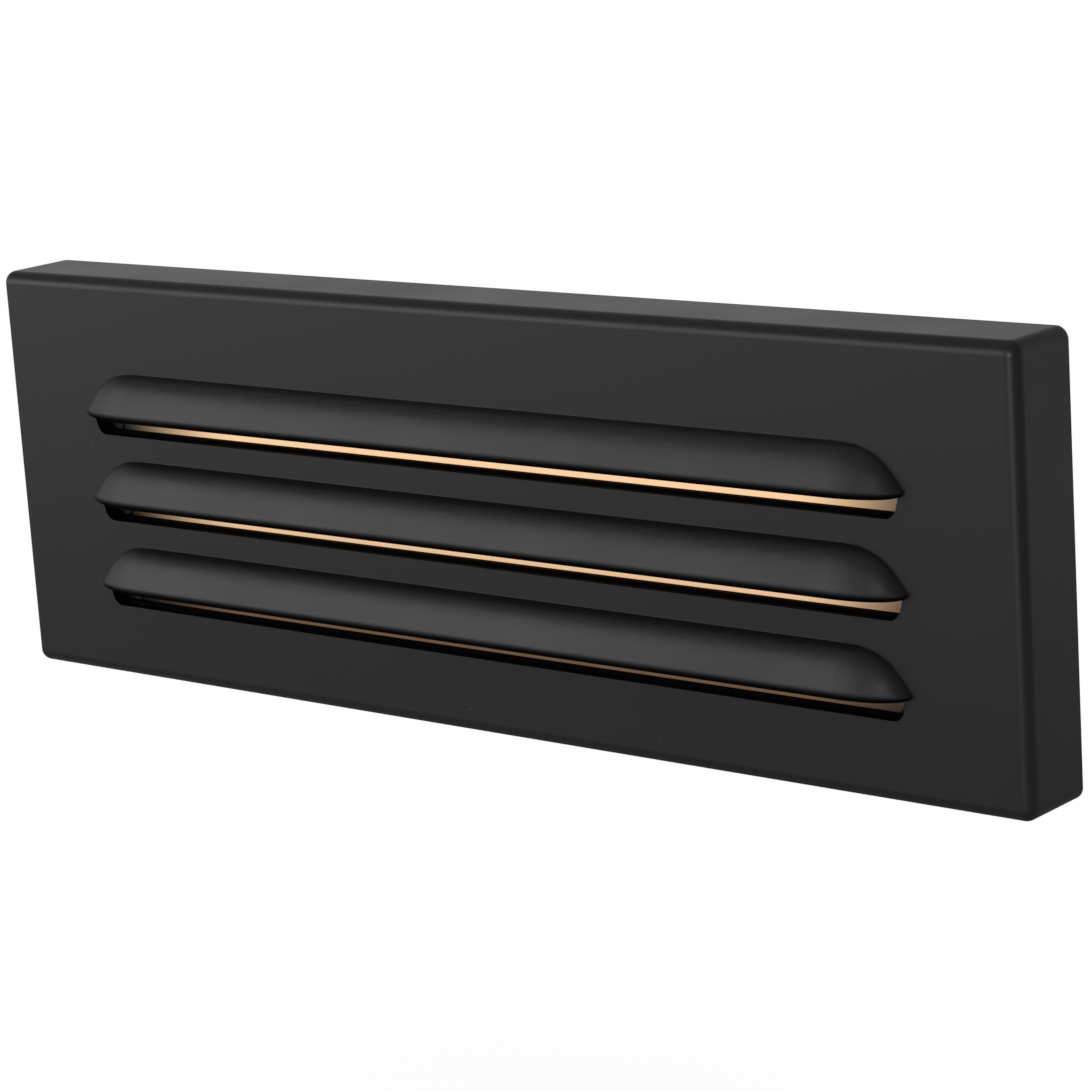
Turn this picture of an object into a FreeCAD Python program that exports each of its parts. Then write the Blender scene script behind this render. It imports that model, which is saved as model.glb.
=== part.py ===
"""Louvered step light, one brick long: a cast cover over a wall plate that carries a sealed LED module.

Millimetres. The wall is the plane y = 0, the viewer is towards -Y, +X is to the right and +Z is up.
The origin is the centre of the two fixing slots, on the wall.
"""
import FreeCAD, Part
import math
import os

V = FreeCAD.Vector

# ---------------------------------------------------------------- driving dimensions
# Cover: a cast pan, open towards the wall
cover_width = 235.0
cover_height = 79.4
cover_depth = 15.9
cover_edge_radius = 2.3       # front edges and the four corners
cover_side_wall = 2.4
cover_face_wall = 3.2
cover_inner_corner = 1.2
rim_gap = 0.3                 # rear rim to the wall

# Louvers: hoods that stand out of the face, open downwards
louver_count = 3
louver_pitch = 17.165
louver_group_drop = 1.865     # centre of the group below the centre of the face
louver_side_margin = 22.3     # side of the cover to the tip of a louver
mouth_height = 2.9            # sill to the underside of the lip
hood_rise = 8.9               # underside of the lip to the top of the hood
hood_reach = 4.6              # how far the lip stands out of the face
hood_end_length = 12.8        # rounded shoulder, from the straight part to the tip
hood_root_radius = 0.3        # hollow blend between hood and face
hood_lip_slope = 15.0         # degrees the hood still leans outwards above its lip
hood_lip_round = 1.3          # the lip curls under with this radius
hood_fullness = 0.55          # 0 is a flat slope from face to lip, 1 a square hood
hood_top_wall = 2.2
hood_lip_wall = 2.0
sill_corner_inset = 2.2       # foot of the mouth, shorter at each end than the hood
sill_corner_radius = 2.4
water_bar_height = 0.75       # upstand behind each sill, which keeps rain off the lens
water_bar_thickness = 1.2

# Wall plate and its gasket
gasket_thickness = 1.5
plate_thickness = 1.5
plate_clearance = 0.6         # plate edge to the inside of the cover
plate_corner = 2.0
gasket_inset = 1.0
gasket_ring_x = 21.5
gasket_ring_z = 8.7
slot_inset = 11.3             # plate end to the centre of a fixing slot
slot_radius = 2.25
slot_length = 8.0
bead_length = 36.0            # stiffening beads pressed forwards near the top and the foot
bead_radius = 1.5
bead_height = 0.6
bead_margin = 3.4             # tab to the middle of a bead
tab_width = 20.0
tab_thickness = 1.5
tab_reach = 7.0
tab_bend = 1.1                # outside radius of the fold
tab_corner = 2.0
tab_spacing = 156.0
top_tab_gap = 0.1             # the cover hangs on the top tabs

# Cover fixing: socket set screws in the underside, which bear on the lower tabs
set_screw_radius = 2.0
set_screw_length = 4.0
set_screw_tip_gap = 0.1
set_screw_fit = 0.03
boss_length = 12.0
boss_height = 2.0
boss_tab_gap = 0.4
post_radius = 2.6
post_inset = 5.2
post_gap = 0.1
weep_width = 4.0
weep_height = 1.2
weep_spacing = 120.0

# Sealed LED module
module_tab_clearance = 0.7
module_slot_clearance = 1.7
fixing_head_radius = 4.0      # head of the screw that an installer puts in a fixing slot
frame_cover_gap = 0.4
frame_plate = 1.2
frame_rim = 3.8
frame_lap = 2.4               # frame over the edge of the lens
frame_bevel = 0.7
frame_corner = 4.0
lens_thickness = 2.0
lens_clearance = 0.3
lens_gasket_thickness = 1.0
lens_gasket_width = 3.0
tray_wall = 1.2
tray_lap = 1.5                # tray opening inside the lens window
thermal_pad_thickness = 0.3
led_board_height = 17.0
led_board_thickness = 1.2
led_board_end_gap = 7.5
emitter_pitch = 10.0
emitter_width = 3.5
emitter_height = 2.8
emitter_depth = 0.7
emitter_end_gap = 9.0
reflector_sheet = 0.8
reflector_gap = 0.3
reflector_base_lap = 1.2

# Driver case behind the plate
case_width = 92.0
case_height = 42.0
case_depth = 24.0             # wall plane to the back of the case
case_wall = 1.6
case_corner = 3.0
case_ear = 6.0
case_gasket_thickness = 0.8
case_boss_height = 5.4
case_boss_radius = 2.8
driver_board_thickness = 1.6
driver_board_gap = 1.2
bushing_bore = 3.5
bushing_neck = 5.0
bushing_flange = 6.8
bushing_lip = 1.6
bushing_height = 8.5          # open end of the case to the middle of the bushing
terminal_gap = 6.5            # bushing's inner end to the supply terminal
bushing_tail = 2.4            # how far the bushing stands inside the case

# What stands on the driver board: places along and across it, and sizes
board_hole_inset = 3.2
terminal_length = 9.0
terminal_width = 16.2
terminal_height = 10.0
terminal_ways = 3
terminal_pitch = 5.2
terminal_screw_radius = 1.7
terminal_entry_radius = 1.5
terminal_step = 3.0
transformer_x = 7.0
core_length = 17.0
core_width = 5.6
core_height = 12.5
core_lift = 1.2
core_leg = 5.0
core_back = 2.2
winding_length = 12.2
winding_width = 14.4
rail_length = 16.0
rail_width = 3.2
rail_height = 3.6
choke_x = -11.5
choke_z = 1.5
choke_radius = 4.6            # middle of the ring
choke_ring_width = 4.0
choke_ring_height = 4.6
choke_turns = 12
choke_wire = 0.8
main_capacitor = (4.0, 13.0)  # radius and height
main_capacitor_x = 24.5
main_capacitor_gap = 0.6
output_capacitor = (3.2, 11.0)
output_capacitor_x = 34.0
output_capacitor_z = -3.0
# along, across, half length, half width and height of each chip
rectifier = (-17.0, -11.0, 4.2, 3.2, 3.0)
switch_chip = (-4.0, 12.0, 5.0, 3.2, 3.4)
opto_coupler = (14.0, 12.6, 2.4, 3.2, 3.2)

# Leads from the driver to the LED board
lead_radius = 0.7
lead_spacing = 2.0
lead_bend = 2.2
lead_x = 22.0
grommet_radius = 4.0
grommet_flange = 5.2
grommet_lip = 0.8
grommet_bore = 2.8
grommet_gap = 0.3
connector_length = 8.0
connector_height = 2.4
connector_wall = 0.9
connector_stand = 4.0         # end of the leads' bend to the connector
lead_grip = 3.0               # how far a lead goes into the connector
latch_width = 2.0
latch_height = 1.0

# Fasteners: radius of shank, radius and height of head
m2 = (1.0, 1.9, 0.9)
m25 = (1.25, 2.2, 1.5)
m3 = (1.5, 2.75, 1.8)
m4 = (2.0, 3.8, 2.6)
washer_brim = 0.9
washer_cup = 0.8
washer_sheet = 0.6
earth_margin = 10.0           # driver case to the middle of the earth screw
thread_gap = 0.03
hole_gap = 0.2

# ---------------------------------------------------------------- places worked out from them
y_rim = -rim_gap
y_face = y_rim - cover_depth
y_inner = y_face + cover_face_wall
cavity_x = cover_width / 2 - cover_side_wall
cavity_z = cover_height / 2 - cover_side_wall

plate_x = cavity_x - plate_clearance
plate_z = cavity_z - plate_clearance
y_plate_back = -gasket_thickness
y_plate_front = y_plate_back - plate_thickness
slot_x = plate_x - slot_inset

tab_x = tab_spacing / 2
tab_top_z = cavity_z - top_tab_gap
tab_foot_z = -(cavity_z - boss_height - boss_tab_gap)
y_tab_end = y_plate_front - tab_reach
y_set_screw = y_plate_front - tab_reach / 2

frame_x = slot_x - fixing_head_radius - module_slot_clearance
frame_z = -tab_foot_z - tab_thickness - module_tab_clearance
pocket_x = frame_x - frame_rim
pocket_z = frame_z - frame_rim
lens_x = pocket_x - lens_clearance
lens_z = pocket_z - lens_clearance
window_x = lens_x - frame_lap
window_z = lens_z - frame_lap
tray_x = window_x - tray_lap
tray_z = window_z - tray_lap
y_frame_front = y_inner + frame_cover_gap
y_lens_front = y_frame_front + frame_plate
y_lens_back = y_lens_front + lens_thickness
y_flange_front = y_lens_back + lens_gasket_thickness
y_flange_back = y_flange_front + tray_wall
y_tray_front = y_plate_front - tray_wall
y_pad_front = y_tray_front - thermal_pad_thickness
y_board_front = y_pad_front - led_board_thickness
board_x = tray_x - led_board_end_gap
board_z = led_board_height / 2
frame_screw_x = frame_x - frame_rim / 2
frame_screw_z = frame_z - frame_rim / 2

y_case_front = y_plate_back + case_gasket_thickness
case_x = case_width / 2
case_z = case_height / 2
ear_x = case_x + case_ear / 2
ear_z = case_z - case_ear
y_case_floor = case_depth - case_wall
y_driver_back = y_case_floor - case_boss_height
y_driver_front = y_driver_back - driver_board_thickness
driver_x = case_x - case_wall - driver_board_gap
driver_z = case_z - case_wall - driver_board_gap
driver_screw_x = driver_x - board_hole_inset
driver_screw_z = driver_z - board_hole_inset
y_bushing = y_case_front + bushing_height
lead_z = case_z - case_wall - grommet_flange - hole_gap
hood_straight = cover_width / 2 - louver_side_margin - hood_end_length
connector_x = lead_x - lead_bend - connector_stand - connector_length / 2
connector_half_z = lead_spacing / 2 + lead_radius + connector_wall
ear_half_x = connector_length / 2 + latch_height - hole_gap
y_lead_run = y_board_front - connector_height / 2
earth_x = case_x + case_ear + earth_margin


# ---------------------------------------------------------------- forms used again and again
def block(x0, x1, y0, y1, z0, z1):
    return Part.makeBox(x1 - x0, y1 - y0, z1 - z0, V(x0, y0, z0))


def rounded_wire(half_x, half_z, corner, y, mid_x=0.0, mid_z=0.0):
    """Rectangle with round corners in the plane y."""
    x0, x1, z0, z1 = mid_x - half_x, mid_x + half_x, mid_z - half_z, mid_z + half_z
    edges = []
    turns = [(x1 - corner, z1 - corner, 0), (x0 + corner, z1 - corner, 90),
             (x0 + corner, z0 + corner, 180), (x1 - corner, z0 + corner, 270)]
    ends = []
    for x, z, start in turns:
        points = [V(x + corner * math.cos(math.radians(start + a)), y,
                    z + corner * math.sin(math.radians(start + a))) for a in (0, 45, 90)]
        ends.append(points)
    for this, following in zip(ends, ends[1:] + ends[:1]):
        edges.append(Part.Arc(*this).toShape())
        edges.append(Part.makeLine(this[2], following[0]))
    return Part.Wire(edges)


def slab(half_x, half_z, corner, y0, y1, mid_x=0.0, mid_z=0.0):
    """Plate with round corners between the planes y0 and y1."""
    face = Part.Face(rounded_wire(half_x, half_z, corner, y0, mid_x, mid_z))
    return face.extrude(V(0, y1 - y0, 0))


def rod(x, z, y0, y1, radius):
    """Round bar along Y."""
    return Part.makeCylinder(radius, y1 - y0, V(x, y0, z), V(0, 1, 0))


def slot(x, z, y0, y1, radius, length):
    """Slot along X with round ends."""
    end = length / 2 - radius
    top, foot = z + radius, z - radius
    edges = [Part.makeLine(V(x - end, y0, top), V(x + end, y0, top)),
             Part.Arc(V(x + end, y0, top), V(x + length / 2, y0, z), V(x + end, y0, foot)).toShape(),
             Part.makeLine(V(x + end, y0, foot), V(x - end, y0, foot)),
             Part.Arc(V(x - end, y0, foot), V(x - length / 2, y0, z), V(x - end, y0, top)).toShape()]
    return Part.Face(Part.Wire(edges)).extrude(V(0, y1 - y0, 0))


def turned(points, place, axis):
    """Solid turned from (radius, height) points, with its axis along a vector."""
    outline = Part.makePolygon([V(r, 0, h) for r, h in points + points[:1]])
    solid = Part.Face(outline).revolve(V(0, 0, 0), V(0, 0, 1), 360)
    solid.Placement = FreeCAD.Placement(place, FreeCAD.Rotation(V(0, 0, 1), axis))
    return solid


def hex_socket(across, depth, place, axis):
    """Six-sided recess that starts at a place and goes in along an axis."""
    ring = [V(across / math.sqrt(3) * math.cos(math.radians(60 * k)),
              across / math.sqrt(3) * math.sin(math.radians(60 * k)), 0) for k in range(7)]
    recess = Part.Face(Part.makePolygon(ring)).extrude(V(0, 0, depth))
    recess.Placement = FreeCAD.Placement(place, FreeCAD.Rotation(V(0, 0, 1), axis))
    return recess


def pan_screw(size, length, place, axis):
    """Pan-head screw: the underside of its head is at the place, and the shank runs along the axis."""
    shank, head, height = size
    points = [(0, -height), (head * 0.62, -height), (head * 0.9, -height * 0.72), (head, -height * 0.3),
              (head, 0), (shank, 0), (shank, length - shank * 0.4), (shank * 0.6, length), (0, length)]
    top = place - V(axis).multiply(height)
    return turned(points, place, axis).cut(hex_socket(head * 0.8, height * 0.6, top, axis))


def sunk_screw(size, length, place, axis):
    """Countersunk screw: the top of its head is at the place, and the shank runs along the axis."""
    shank, head, height = size
    points = [(0, 0), (head, 0), (shank, head - shank), (shank, length - shank * 0.4), (shank * 0.6, length),
              (0, length)]
    return turned(points, place, axis).cut(hex_socket(head * 0.8, height, place, axis))


def corners(x, z):
    return [(sx * x, sz * z) for sx in (-1, 1) for sz in (-1, 1)]


def joined(shapes):
    return shapes[0].multiFuse(shapes[1:]) if len(shapes) > 1 else shapes[0]


def cut_all(shape, tools):
    return shape.cut(Part.makeCompound(tools))


def raised(shape, z):
    copy = shape.copy()
    copy.translate(V(0, 0, z))
    return copy


# ---------------------------------------------------------------- cover
def sill_height(index):
    """Foot of a louver's mouth; the first louver is the top one."""
    height = mouth_height + hood_rise
    return ((louver_count - 1) / 2 - index) * louver_pitch - louver_group_drop - height / 2


def curve(points):
    bezier = Part.BezierCurve()
    bezier.setPoles(points)
    return bezier.toShape()


def hood_heights():
    """Heights above the sill: underside of the lip, where it starts to curl under, and top of the hood."""
    curl = mouth_height + hood_lip_round * (1 + math.sin(math.radians(hood_lip_slope)))
    return mouth_height, curl, mouth_height + hood_rise


def hood_curve(at, start, reach, top, curl):
    """The hood's quarter oval, from its top edge out and down to where its lip curls under."""
    lean = math.radians(hood_lip_slope)
    pull = hood_fullness * (top - curl)
    return curve([at(start, top), at(start + hood_fullness * (reach - start), top),
                  at(reach - pull * math.sin(lean), curl + pull * math.cos(lean)), at(reach, curl)])


def hood_section(x, back):
    """Outer section of a hood across its length, as a face that reaches back into the wall of the cover.
    A louver is made with its sill at z = 0 and then set at each of its heights."""
    lean = math.radians(hood_lip_slope)
    root, lip = hood_root_radius, hood_lip_round
    underside, curl, top = hood_heights()

    def at(out, z):
        return V(x, y_face - out, z)

    bend_out, bend_z = hood_reach - lip * math.cos(lean), underside + lip
    half = math.radians(hood_lip_slope / 2 - 45)
    slant = root * math.sqrt(0.5)
    edges = [hood_curve(at, root, hood_reach, top, curl),
             Part.Arc(at(hood_reach, curl),
                      at(bend_out + lip * math.cos(half), bend_z + lip * math.sin(half)),
                      at(bend_out, underside)).toShape(),
             Part.makeLine(at(bend_out, underside), at(-back, underside)),
             Part.makeLine(at(-back, underside), at(-back, top + root)),
             Part.Arc(at(0, top + root), at(root - slant, top + root - slant), at(root, top)).toShape()]
    if back > 0:
        edges.append(Part.makeLine(at(-back, top + root), at(0, top + root)))
    return Part.Face(Part.Wire(Part.sortEdges(edges)[0]))


def hollow_section(x, back):
    """Section of the hollow under a hood."""
    underside, curl, top = hood_heights()
    reach = hood_reach - hood_lip_wall
    crown = top - hood_top_wall

    def at(out, z):
        return V(x, y_face - out, z)

    floor = underside - hood_lip_round
    edges = [hood_curve(at, 0.0, reach, crown, curl), Part.makeLine(at(reach, curl), at(reach, floor)),
             Part.makeLine(at(reach, floor), at(-back, floor)),
             Part.makeLine(at(-back, floor), at(-back, crown))]
    if back > 0:
        edges.append(Part.makeLine(at(-back, crown), at(0, crown)))
    return Part.Face(Part.Wire(Part.sortEdges(edges)[0]))


def shoulder(section, side, length, reach, depth):
    """A section turned about the upright line at its root, drawn out to the shoulder's length, and the
    prism that carries its footprint on into the wall."""
    root, upright = V(side * hood_straight, y_face, 0), V(0, 0, 1)
    stretch = FreeCAD.Matrix()
    stretch.A11 = length / reach
    stretch.A14 = root.x * (1 - length / reach)
    quarter = section.revolve(root, upright, side * 90).transformGeometry(stretch)
    footprint = section.copy()
    footprint.rotate(root, upright, side * 90)
    return [quarter, footprint.transformGeometry(stretch).extrude(V(0, depth, 0))]


def hood_body():
    """The section drawn out along the louver, with a shoulder turned on each end."""
    into_wall = cover_face_wall / 2
    parts = [hood_section(-hood_straight, into_wall).extrude(V(2 * hood_straight, 0, 0))]
    for side in (-1, 1):
        section = hood_section(side * hood_straight, 0.0)
        parts += shoulder(section, side, hood_end_length, hood_reach, into_wall)
    return joined(parts)


def hood_hollow():
    through = cover_face_wall + 1.0
    parts = [hollow_section(-hood_straight, through).extrude(V(2 * hood_straight, 0, 0))]
    for side in (-1, 1):
        section = hollow_section(side * hood_straight, 0.0)
        parts += shoulder(section, side, hood_end_length - hood_top_wall, hood_reach - hood_lip_wall, through)
    return joined(parts)


def mouth_slot(foot, y0, y1, top):
    """Slot through part of the wall, from its foot up: narrower at the foot, with round lower corners."""
    tip = cover_width / 2 - louver_side_margin - hood_lip_round / 2
    inner = cover_width / 2 - louver_side_margin - sill_corner_inset
    points = [V(-tip, y0, top), V(-inner, y0, foot), V(inner, y0, foot), V(tip, y0, top)]
    prism = Part.Face(Part.makePolygon(points + points[:1])).extrude(V(0, y1 - y0, 0))
    lower = [edge for edge in prism.Edges if all(abs(v.Z - foot) < 1e-6 for v in edge.Vertexes)
             and abs(edge.BoundBox.YLength - (y1 - y0)) < 1e-6]
    return prism.makeFillet(sill_corner_radius, lower)


def mouth_opening():
    """The slot through the face under a hood: lower in front, and higher behind over the water bar."""
    underside, curl, top = hood_heights()
    y_bar = y_inner - water_bar_thickness
    return [mouth_slot(0.0, y_face, y_bar, curl),
            mouth_slot(water_bar_height, y_bar - 0.5, y_inner + 1.0, curl)]


def cover_pan():
    outer = block(-cover_width / 2, cover_width / 2, y_face, y_rim, -cover_height / 2, cover_height / 2)
    rounded = [edge for edge in outer.Edges
               if all(abs(v.Y - y_face) < 1e-6 for v in edge.Vertexes)
               or abs(edge.Vertexes[0].Y - edge.Vertexes[1].Y) > cover_depth / 2]
    outer = outer.makeFillet(cover_edge_radius, rounded)
    return outer.cut(slab(cavity_x, cavity_z, cover_inner_corner, y_inner, y_rim + 1.0))


def screw_bosses():
    """Thick places inside the underside for the set screws."""
    bosses = []
    for side in (-1, 1):
        x = side * tab_x
        boss = block(x - boss_length / 2, x + boss_length / 2, y_inner - 0.5, y_plate_front - boss_tab_gap,
                     -cavity_z - 0.5, -cavity_z + boss_height)
        bosses.append(boss)
    return bosses


def stop_posts():
    """Posts in the corners that rest on the wall plate."""
    x, z = cavity_x - post_inset, cavity_z - post_inset
    return [rod(px, pz, y_inner - 0.5, y_plate_front - post_gap, post_radius) for px, pz in corners(x, z)]


def cover():
    shell = joined([cover_pan()] + screw_bosses() + stop_posts())
    hood, opening = hood_body(), joined([hood_hollow()] + mouth_opening())
    for index in range(louver_count):
        shell = shell.fuse(raised(hood, sill_height(index)))
    for index in range(louver_count):
        shell = shell.cut(raised(opening, sill_height(index)))
    holes = []
    for side in (-1, 1):
        hole = Part.makeCylinder(set_screw_radius + set_screw_fit, cover_height / 2,
                                 V(side * tab_x, y_set_screw, -cover_height / 2 - 1))
        mouth = Part.makeCone(set_screw_radius + 0.8, set_screw_radius, 0.8,
                              V(side * tab_x, y_set_screw, -cover_height / 2))
        holes += [hole.common(block(-cover_width, cover_width, y_face, 0, -cover_height, 0)), mouth]
        x = side * weep_spacing / 2
        holes.append(block(x - weep_width / 2, x + weep_width / 2, y_rim - weep_height, y_rim + 1,
                           -cover_height / 2 - 1, -cavity_z + 1))
    return cut_all(shell, holes).removeSplitter()


def set_screw(side):
    tip = tab_foot_z - set_screw_tip_gap
    start = tip - set_screw_length
    chamfer = 0.5
    points = [(0, 0), (set_screw_radius - 0.3, 0), (set_screw_radius, 0.3),
              (set_screw_radius, set_screw_length - chamfer), (set_screw_radius - chamfer, set_screw_length),
              (0, set_screw_length)]
    place = V(side * tab_x, y_set_screw, start)
    return turned(points, place, V(0, 0, 1)).cut(hex_socket(2.0, 2.0, place, V(0, 0, 1)))


# ---------------------------------------------------------------- wall plate
def fixing_slots(y0, y1):
    return [slot(side * slot_x, 0, y0, y1, slot_radius, slot_length) for side in (-1, 1)]


def case_screw_places():
    return corners(ear_x, ear_z)


def tray_screw_places():
    return corners(tray_x - m3[1] - 0.8, tray_z * 0.66)


def bent_tab(side, z_outer, way):
    """Tab folded forwards off the plate's edge; its outer face is at z_outer and way points outwards."""
    x0, x1 = side * tab_x - tab_width / 2, side * tab_x + tab_width / 2
    z0, z1 = sorted((z_outer, z_outer - way * tab_thickness))
    tab = block(x0, x1, y_tab_end, y_plate_back, z0, z1)
    fold = [edge for edge in tab.Edges if all(abs(v.Z - z_outer) < 1e-6 and abs(v.Y - y_plate_back) < 1e-6
                                              for v in edge.Vertexes)]
    tab = tab.makeFillet(tab_bend, fold)
    ends = [edge for edge in tab.Edges if all(abs(v.Y - y_tab_end) < 1e-6 for v in edge.Vertexes)
            and abs(edge.BoundBox.ZLength - tab_thickness) < 1e-6]
    return tab.makeFillet(tab_corner, ends)


def back_plate():
    plate = slab(plate_x, plate_z, plate_corner, y_plate_front, y_plate_back)
    reliefs, parts = [], []
    for side in (-1, 1):
        x0, x1 = side * tab_x - tab_width / 2, side * tab_x + tab_width / 2
        reliefs.append(block(x0, x1, y_plate_front - 1, y_plate_back + 1, -plate_z - 1, tab_foot_z + tab_bend))
        reliefs.append(block(x0, x1, y_plate_front - 1, y_plate_back + 1, plate_z - tab_bend, plate_z + 1))
        parts += [bent_tab(side, tab_top_z, 1), bent_tab(side, tab_foot_z, -1)]
        for z in (tab_top_z - tab_thickness - bead_margin - bead_radius,
                  tab_foot_z + tab_thickness + bead_margin + bead_radius):
            parts.append(slot(side * bead_length * 0.75, z, y_plate_front - bead_height, y_plate_back,
                              bead_radius, bead_length))
    plate = joined([cut_all(plate, reliefs)] + parts).removeSplitter()
    holes = fixing_slots(y_plate_front - 1, y_plate_back + 1)
    holes += [rod(x, z, y_plate_front - 1, y_plate_back + 1, m3[0] + thread_gap)
              for x, z in case_screw_places() + tray_screw_places()]
    holes.append(rod(lead_x, lead_z, y_plate_front - 1, y_plate_back + 1, grommet_radius))
    holes.append(rod(earth_x, 0, y_plate_front - 1, y_plate_back + 1, m4[0] + thread_gap))
    return cut_all(plate, holes)


def wall_gasket():
    x, z = plate_x - gasket_inset, plate_z - gasket_inset
    pad = slab(x, z, plate_corner, y_plate_back, 0)
    window = slab(x - gasket_ring_x, z - gasket_ring_z, 4.0, y_plate_back - 1, 1)
    return cut_all(pad, [window] + fixing_slots(y_plate_back - 1, 1))


# ---------------------------------------------------------------- LED module
def led_tray():
    """Pressed pan that carries the LED board and spreads its heat, with a rim for the lens."""
    pan = slab(tray_x + tray_wall, tray_z + tray_wall, 4.0 + tray_wall, y_flange_front, y_plate_front)
    rim = slab(frame_x, frame_z, frame_corner, y_flange_front, y_flange_back)
    tray = joined([pan, rim]).removeSplitter()
    tools = [slab(tray_x, tray_z, 4.0, y_flange_front - 1, y_tray_front)]
    tools += [rod(x, z, y_flange_front - 1, y_plate_front + 1, m3[0] + hole_gap)
              for x, z in tray_screw_places()]
    tools += [rod(x, z, y_flange_front - 1, y_plate_front + 1, m25[0] + thread_gap)
              for x, z in board_screw_places()]
    tools += [rod(x, z, y_flange_front - 1, y_flange_back + 1, m2[0] + thread_gap)
              for x, z in lens_screw_places()]
    tools.append(rod(lead_x, lead_z, y_flange_front - 1, y_plate_front + 1, grommet_radius))
    return cut_all(tray, tools)


def lens_screw_places():
    return corners(frame_screw_x, frame_screw_z) + corners(frame_screw_x / 3, frame_screw_z)


def board_screw_places():
    return [(-board_x + 4.0, 0), (board_x - 4.0, 0), (-2.5 * emitter_pitch, -5.4), (2.5 * emitter_pitch, -5.4)]


def emitter_places():
    count = 2 * int((board_x - emitter_end_gap) / emitter_pitch) + 1
    return [(k - (count - 1) / 2) * emitter_pitch for k in range(count)]


def board_outline(y0, y1):
    """LED board: a long strip with an ear for the connector."""
    strip = slab(board_x, board_z, 1.0, y0, y1)
    ear = block(connector_x - ear_half_x, connector_x + ear_half_x, y0, y1, board_z - 2,
                lead_z + connector_half_z + connector_wall)
    room = rod(lead_x, lead_z, y0 - 1, y1 + 1, grommet_flange + grommet_gap)
    return joined([strip, ear]).removeSplitter().cut(room)


def thermal_pad():
    pad = board_outline(y_pad_front, y_tray_front)
    return cut_all(pad, [rod(x, z, y_pad_front - 1, y_plate_front, m25[0] + hole_gap)
                         for x, z in board_screw_places()])


def led_board():
    board = board_outline(y_board_front, y_pad_front)
    return cut_all(board, [rod(x, z, y_board_front - 1, y_plate_front, m25[0] + hole_gap)
                           for x, z in board_screw_places()])


def led_emitters():
    solids = []
    for x in emitter_places():
        body = block(x - emitter_width / 2, x + emitter_width / 2, y_board_front - emitter_depth, y_board_front,
                     -emitter_height / 2, emitter_height / 2)
        well = Part.makeCone(1.1, 0.8, 0.25, V(x, y_board_front - emitter_depth, 0), V(0, 1, 0))
        solids.append(body.cut(well))
    return solids


def led_connector():
    half_x = connector_length / 2
    body = block(connector_x - half_x, connector_x + half_x, y_board_front - connector_height, y_board_front,
                 lead_z - connector_half_z, lead_z + connector_half_z)
    grip_x = connector_x + half_x - lead_grip
    holes = [Part.makeCylinder(lead_radius, lead_grip, V(grip_x, y_lead_run, z), V(1, 0, 0))
             for z in lead_heights()]
    latches = [block(grip_x - latch_width - connector_wall / 2, grip_x - connector_wall / 2,
                     y_board_front - connector_height - 1, y_board_front - connector_height + latch_height / 2,
                     z - latch_height / 2, z + latch_height / 2) for z in lead_heights()]
    return cut_all(body, holes + latches)


def lead_heights():
    return [lead_z - lead_spacing / 2, lead_z + lead_spacing / 2]


def reflector():
    """White sheet over the board with windows for the emitters, and sides that rise to the lens."""
    base_x, base_z = board_x + reflector_base_lap, board_z + reflector_base_lap
    rim_x, rim_z = tray_x - reflector_gap, tray_z - reflector_gap
    y_rim_end = y_lens_back + reflector_gap
    t = reflector_sheet
    outer = Part.makeLoft([rounded_wire(base_x, base_z, 2.0, y_board_front),
                           rounded_wire(rim_x, rim_z, 3.5, y_rim_end)], True, True)
    inner = Part.makeLoft([rounded_wire(base_x - t, base_z - t, 1.5, y_board_front - t),
                           rounded_wire(rim_x - t, rim_z - t, 3.0, y_rim_end - 0.01)], True, True)
    tools = [inner]
    tools += [block(x - emitter_width / 2 - hole_gap, x + emitter_width / 2 + hole_gap, y_board_front - 3,
                    y_board_front + 1, -emitter_height / 2 - hole_gap, emitter_height / 2 + hole_gap)
              for x in emitter_places()]
    tools += [rod(x, z, y_board_front - 3, y_board_front + 1, m25[1] + hole_gap)
              for x, z in board_screw_places()]
    tools.append(block(connector_x - ear_half_x, lead_x + grommet_flange + 0.6, y_rim_end + 0.5, y_board_front + 1,
                       board_z + 0.2, lead_z + grommet_flange + 0.6))
    return cut_all(outer, tools)


def lens_gasket():
    ring = slab(lens_x, lens_z, 3.0, y_lens_back, y_flange_front)
    return ring.cut(slab(lens_x - lens_gasket_width, lens_z - lens_gasket_width, 2.0, y_lens_back - 1,
                         y_flange_front + 1))


def lens():
    """Opal sheet with a bevelled front edge."""
    sheet = slab(lens_x, lens_z, 3.0, y_lens_front, y_lens_back)
    rim = [edge for edge in sheet.Edges if all(abs(v.Y - y_lens_front) < 1e-6 for v in edge.Vertexes)]
    return sheet.makeChamfer(0.4, rim)


def lens_frame():
    body = slab(frame_x, frame_z, frame_corner, y_frame_front, y_flange_front)
    window = slab(window_x, window_z, 4.0, y_frame_front - 1, y_flange_front + 1)
    wide_x, wide_z = window_x + frame_bevel, window_z + frame_bevel
    bevel = Part.makeLoft([rounded_wire(wide_x, wide_z, 4.0 + frame_bevel, y_frame_front),
                           rounded_wire(window_x, window_z, 4.0, y_frame_front + frame_bevel)], True, True)
    pocket = slab(pocket_x, pocket_z, 3.3, y_lens_front, y_flange_front + 1)
    tools = [window, bevel, pocket]
    sink = m2[1] - m2[0]
    for x, z in lens_screw_places():
        tools.append(rod(x, z, y_frame_front - 1, y_flange_front + 1, m2[0] + hole_gap / 2))
        tools.append(Part.makeCone(m2[1], m2[0], sink, V(x, y_frame_front, z), V(0, 1, 0)))
    return cut_all(body, tools)


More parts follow.
